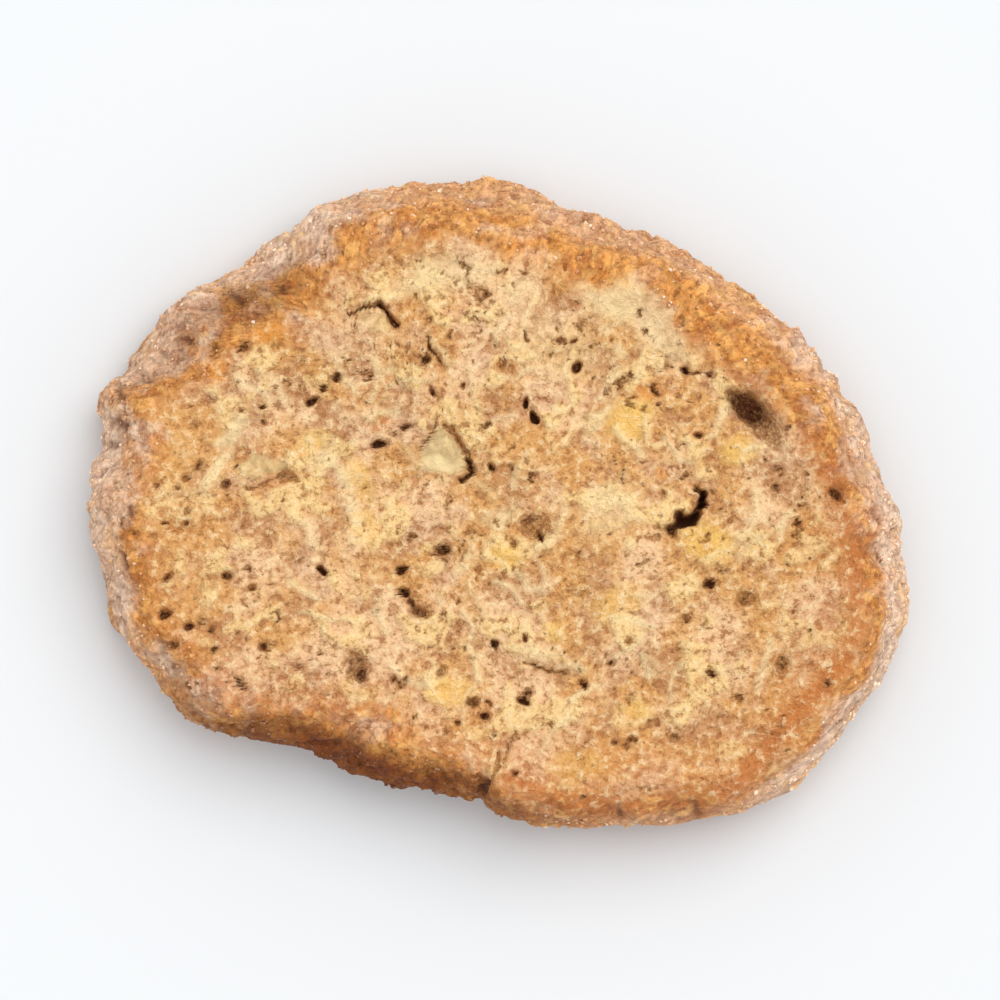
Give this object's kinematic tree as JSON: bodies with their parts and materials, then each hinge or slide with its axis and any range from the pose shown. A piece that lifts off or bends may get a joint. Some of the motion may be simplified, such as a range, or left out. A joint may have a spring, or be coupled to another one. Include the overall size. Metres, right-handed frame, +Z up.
{
  "type": "apple cinnamon biscuit",
  "caption": "Oval slice of a twice-baked apple and cinnamon biscuit with a porous cut face, a sugared brown crust and a flat underside, for eating or laying on a plate.",
  "frame": {"origin": "middle of the slice's box, on the flat underside it lies on", "axes": "+Z up out of the upper cut face, +X towards the long end on the right of the upper face, +Y towards the side where the crust slopes out most"},
  "size_m": [0.0638, 0.0512, 0.0102],
  "materials": {
    "biscuit": "matte baked crumb, with a browned and sugared crust round it"
  },
  "bodies": {
    "root": {"biscuit": "biscuit"}
  },
  "joints": []
}
